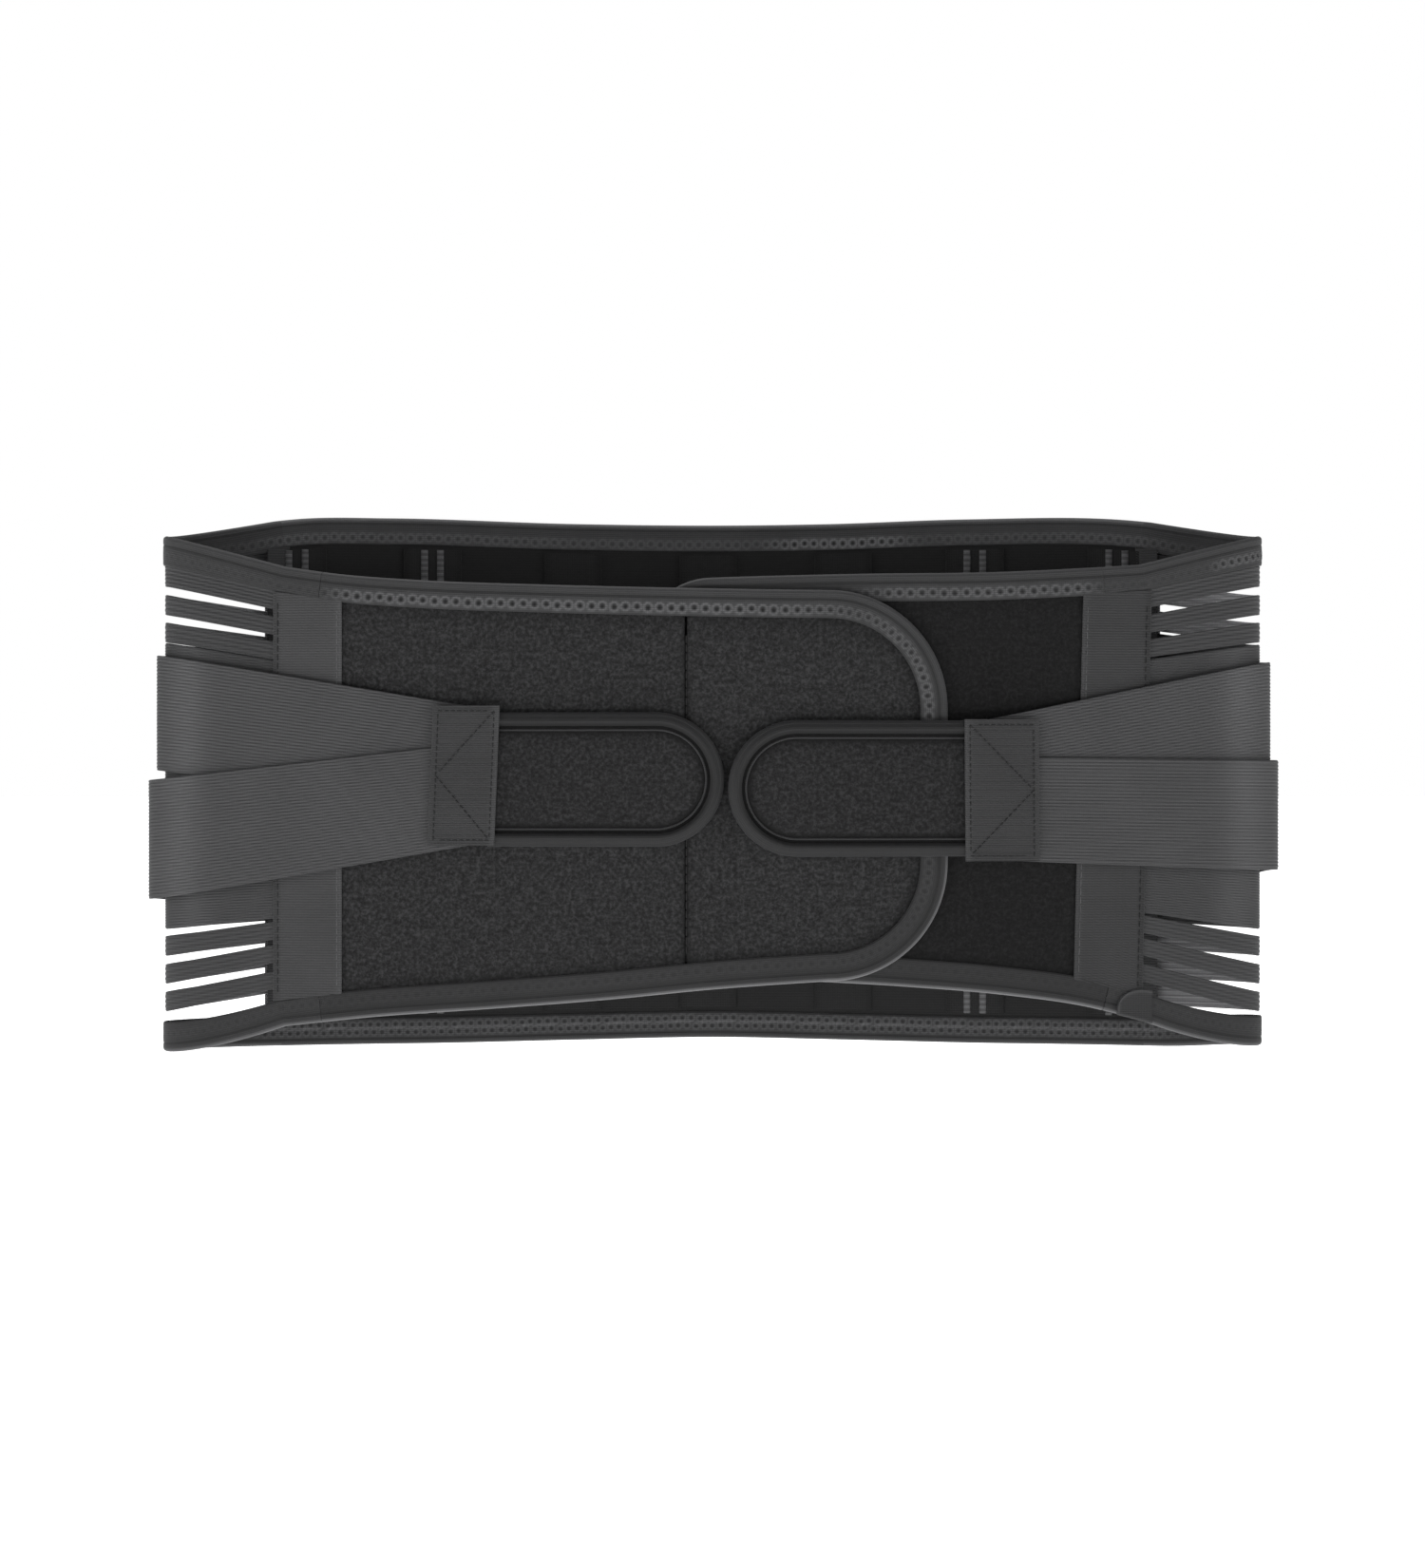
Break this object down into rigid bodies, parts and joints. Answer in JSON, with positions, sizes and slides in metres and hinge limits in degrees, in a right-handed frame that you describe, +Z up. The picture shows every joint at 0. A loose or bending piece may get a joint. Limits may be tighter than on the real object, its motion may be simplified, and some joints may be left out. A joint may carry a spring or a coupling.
{
  "type": "lumbar support belt",
  "caption": "Closed elastic lumbar belt with stayed back, fishbone elastic sides, overlapping felt fronts and twin stretch pull straps ending in hook-and-loop tabs.",
  "frame": {"origin": "on the floor under the middle of the closed belt's box", "axes": "+Z up along the wearer's spine, -Y to the overlapping front, +Y to the stayed back, +X to the side that the inner front panel comes from"},
  "size_m": [0.4755, 0.1283, 0.2273],
  "materials": {
    "loop_felt": "matte",
    "lining_mesh": "matte",
    "grosgrain": "matte",
    "binding_tape": "matte",
    "elastic_webbing": "matte",
    "channel_tape": "matte",
    "hook_tape": "matte",
    "spring_steel": "satin",
    "stay_plastic": "matte"
  },
  "bodies": {
    "back": {"back_panel": "loop_felt", "back_lining": "lining_mesh", "back_top_binding": "binding_tape", "back_bottom_binding": "binding_tape", "stay_channel_1": "channel_tape", "spiral_stay_1": "spring_steel", "stay_channel_2": "channel_tape", "spiral_stay_2": "spring_steel", "stay_channel_3": "channel_tape", "flat_stay_3": "stay_plastic", "stay_channel_4": "channel_tape", "flat_stay_4": "stay_plastic", "stay_channel_5": "channel_tape", "flat_stay_5": "stay_plastic", "stay_channel_6": "channel_tape", "spiral_stay_6": "spring_steel", "stay_channel_7": "channel_tape", "spiral_stay_7": "spring_steel", "left_fishbone_1": "elastic_webbing", "left_fishbone_2": "elastic_webbing", "left_fishbone_3": "elastic_webbing", "left_fishbone_4": "elastic_webbing", "left_fishbone_5": "elastic_webbing", "left_fishbone_6": "elastic_webbing", "left_wide_elastic": "elastic_webbing", "left_top_band": "binding_tape", "left_bottom_band": "binding_tape", "left_strap_anchor": "grosgrain", "right_fishbone_1": "elastic_webbing", "right_fishbone_2": "elastic_webbing", "right_fishbone_3": "elastic_webbing", "right_fishbone_4": "elastic_webbing", "right_fishbone_5": "elastic_webbing", "right_fishbone_6": "elastic_webbing", "right_wide_elastic": "elastic_webbing", "right_top_band": "binding_tape", "right_bottom_band": "binding_tape", "right_strap_anchor": "grosgrain"},
    "left_front": {"left_front_panel": "loop_felt", "left_front_binding": "binding_tape", "left_front_grosgrain": "grosgrain", "left_closure_panel": "loop_felt", "left_closure_hook": "hook_tape"},
    "right_front": {"right_front_panel": "loop_felt", "right_front_binding": "binding_tape", "right_front_grosgrain": "grosgrain"},
    "left_pull": {"left_upper_strap": "elastic_webbing", "left_lower_strap": "elastic_webbing", "left_tab_pad": "loop_felt", "left_tab_edging": "binding_tape", "left_tab_hook": "hook_tape", "left_tab_patch": "grosgrain"},
    "right_pull": {"right_upper_strap": "elastic_webbing", "right_lower_strap": "elastic_webbing", "right_tab_pad": "loop_felt", "right_tab_edging": "binding_tape", "right_tab_hook": "hook_tape", "right_tab_patch": "grosgrain"}
  },
  "joints": [
    {"name": "left_front_open", "type": "hinge", "parent": "back", "child": "left_front", "pos_m": [-0.2379, 0.0018, 0.1095], "axis": [0, 0, -1], "range_deg": [0, 90], "deforming": ["left_fishbone_1", "left_fishbone_2", "left_fishbone_3", "left_fishbone_4", "left_fishbone_5", "left_fishbone_6", "left_wide_elastic", "left_top_band", "left_bottom_band"]},
    {"name": "right_front_open", "type": "hinge", "parent": "back", "child": "right_front", "pos_m": [0.2371, 0.0018, 0.1095], "axis": [0, 0, 1], "range_deg": [0, 60], "deforming": ["right_fishbone_1", "right_fishbone_2", "right_fishbone_3", "right_fishbone_4", "right_fishbone_5", "right_fishbone_6", "right_wide_elastic", "right_top_band", "right_bottom_band"]},
    {"name": "left_pull_peel", "type": "hinge", "parent": "left_front", "child": "left_pull", "pos_m": [-0.2379, 0.0018, 0.1095], "axis": [0, 0, -1], "range_deg": [0, 120], "deforming": ["left_upper_strap", "left_lower_strap"]},
    {"name": "right_pull_peel", "type": "hinge", "parent": "right_front", "child": "right_pull", "pos_m": [0.2371, 0.0018, 0.1095], "axis": [0, 0, 1], "range_deg": [0, 168], "deforming": ["right_upper_strap", "right_lower_strap"]}
  ],
  "couplings": [
    {"joint": "right_front_open", "follows": "left_front_open", "ratio": 0.66},
    {"joint": "right_pull_peel", "follows": "left_front_open", "ratio": 1.86}
  ]
}
